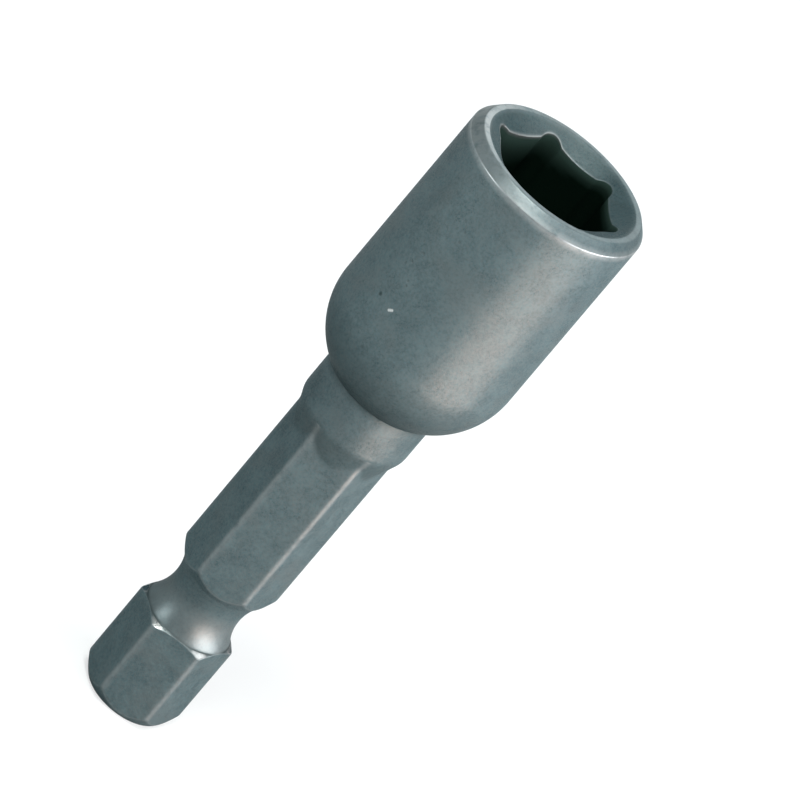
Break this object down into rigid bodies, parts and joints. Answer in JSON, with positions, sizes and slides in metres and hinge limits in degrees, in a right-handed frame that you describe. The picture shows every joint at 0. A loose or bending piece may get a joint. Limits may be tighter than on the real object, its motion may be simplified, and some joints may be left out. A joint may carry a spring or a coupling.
{
  "type": "magnetic nut setter",
  "caption": "Hexagon-shank power-tool nut setter: a domed round socket with a relieved hexagon pocket and a magnet at its bottom, pressed onto a grooved drive shank.",
  "frame": {"origin": "centre of the drive shank's free end face, which is the lowest point of the tool", "axes": "+Z along the tool's axis from the free end to the socket's mouth; the shank's hexagon has corners on +X and -X and flats facing +Y and -Y"},
  "size_m": [0.013, 0.013, 0.048],
  "materials": {
    "shank_steel": "satin grey phosphate over blasted steel, detent groove left bright",
    "socket_steel": "satin grey phosphate over blasted steel",
    "magnet": "nickel plated",
    "sleeve": "plain turned brass"
  },
  "bodies": {
    "root": {"drive_shank": "shank_steel", "socket": "socket_steel", "magnet": "magnet", "magnet_sleeve": "sleeve"}
  },
  "joints": []
}
